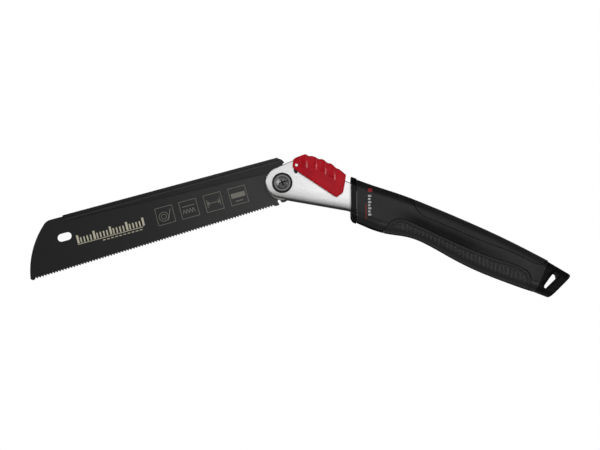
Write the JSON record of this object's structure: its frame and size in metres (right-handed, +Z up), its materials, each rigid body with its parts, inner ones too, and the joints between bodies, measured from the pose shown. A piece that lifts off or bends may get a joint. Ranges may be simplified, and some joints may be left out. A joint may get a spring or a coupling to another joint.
{
  "type": "folding pull saw",
  "caption": "Folding pull saw: black back-stiffened blade with a curved toe on a steel bracket, red lock lever, two-material handle with a lanyard hole.",
  "frame": {"origin": "middle of the overall box in X and Y, at the height of the lowest point, with the blade opened to the angle shown at rest; the pivot axis is at x = -16.414 mm, z = 108.710 mm", "axes": "+X from the toe of the blade towards the butt of the handle, +Z up from the teeth towards the spine, +Y through the thickness from the front side to the rear side"},
  "size_m": [0.5112, 0.0266, 0.1364],
  "materials": {
    "blade_coating": "black low-friction coating, satin",
    "spine_coating": "black satin lacquer",
    "zinc_steel": "zinc-plated steel",
    "nylon": "natural nylon",
    "red_plastic": "glossy red moulded plastic",
    "dark_steel": "black oxide steel",
    "bright_steel": "bright turned steel",
    "bracket_metal": "satin chromed steel",
    "black_oxide": "black oxide",
    "chrome": "polished chrome",
    "hard_grip": "black satin moulded plastic",
    "soft_grip": "black soft elastomer",
    "liner_plastic": "black plain plastic",
    "collar_plastic": "black semi-gloss plastic"
  },
  "bodies": {
    "handle": {"bracket_cheek_rear": "bracket_metal", "bracket_cheek_front": "bracket_metal", "bracket_spacer": "dark_steel", "hinge_pin": "bright_steel", "stop_pin": "bright_steel", "pivot_sleeve": "bright_steel", "pivot_ring_front": "black_oxide", "pivot_ring_rear": "black_oxide", "pivot_washer_front": "bright_steel", "pivot_washer_rear": "bright_steel", "pivot_screw": "chrome", "pivot_nut": "chrome", "lever_spring": "bright_steel", "handle_shell_rear": "hard_grip", "handle_shell_front": "hard_grip", "upper_grip": "soft_grip", "lower_grip_rear": "soft_grip", "lower_grip_front": "soft_grip", "shell_screws": "zinc_steel", "slot_liner": "liner_plastic", "front_collar": "collar_plastic", "collar_gasket": "soft_grip", "end_cap": "collar_plastic"},
    "blade": {"saw_blade": "blade_coating", "blade_spine": "spine_coating", "tang_plate_rear": "zinc_steel", "tang_plate_front": "zinc_steel", "tang_rivets": "zinc_steel", "spine_rivet": "spine_coating", "thrust_washer_rear": "nylon", "thrust_washer_front": "nylon"},
    "lock_lever": {"lever_cover": "red_plastic", "lock_yoke": "dark_steel", "lock_pin": "dark_steel", "cover_rivets": "bright_steel"}
  },
  "joints": [
    {"name": "blade_fold", "type": "hinge", "parent": "handle", "child": "blade", "pos_m": [-0.01641, 0, 0.10871], "axis": [0, -1, 0], "range_deg": [-39.8, 140.2]},
    {"name": "lever_press", "type": "hinge", "parent": "handle", "child": "lock_lever", "pos_m": [0.02006, 0, 0.1166], "axis": [0, 1, 0], "range_deg": [-6.8, 1.2], "stiffness_Nm_per_rad": 0.8, "deforming": ["lever_spring"]}
  ]
}
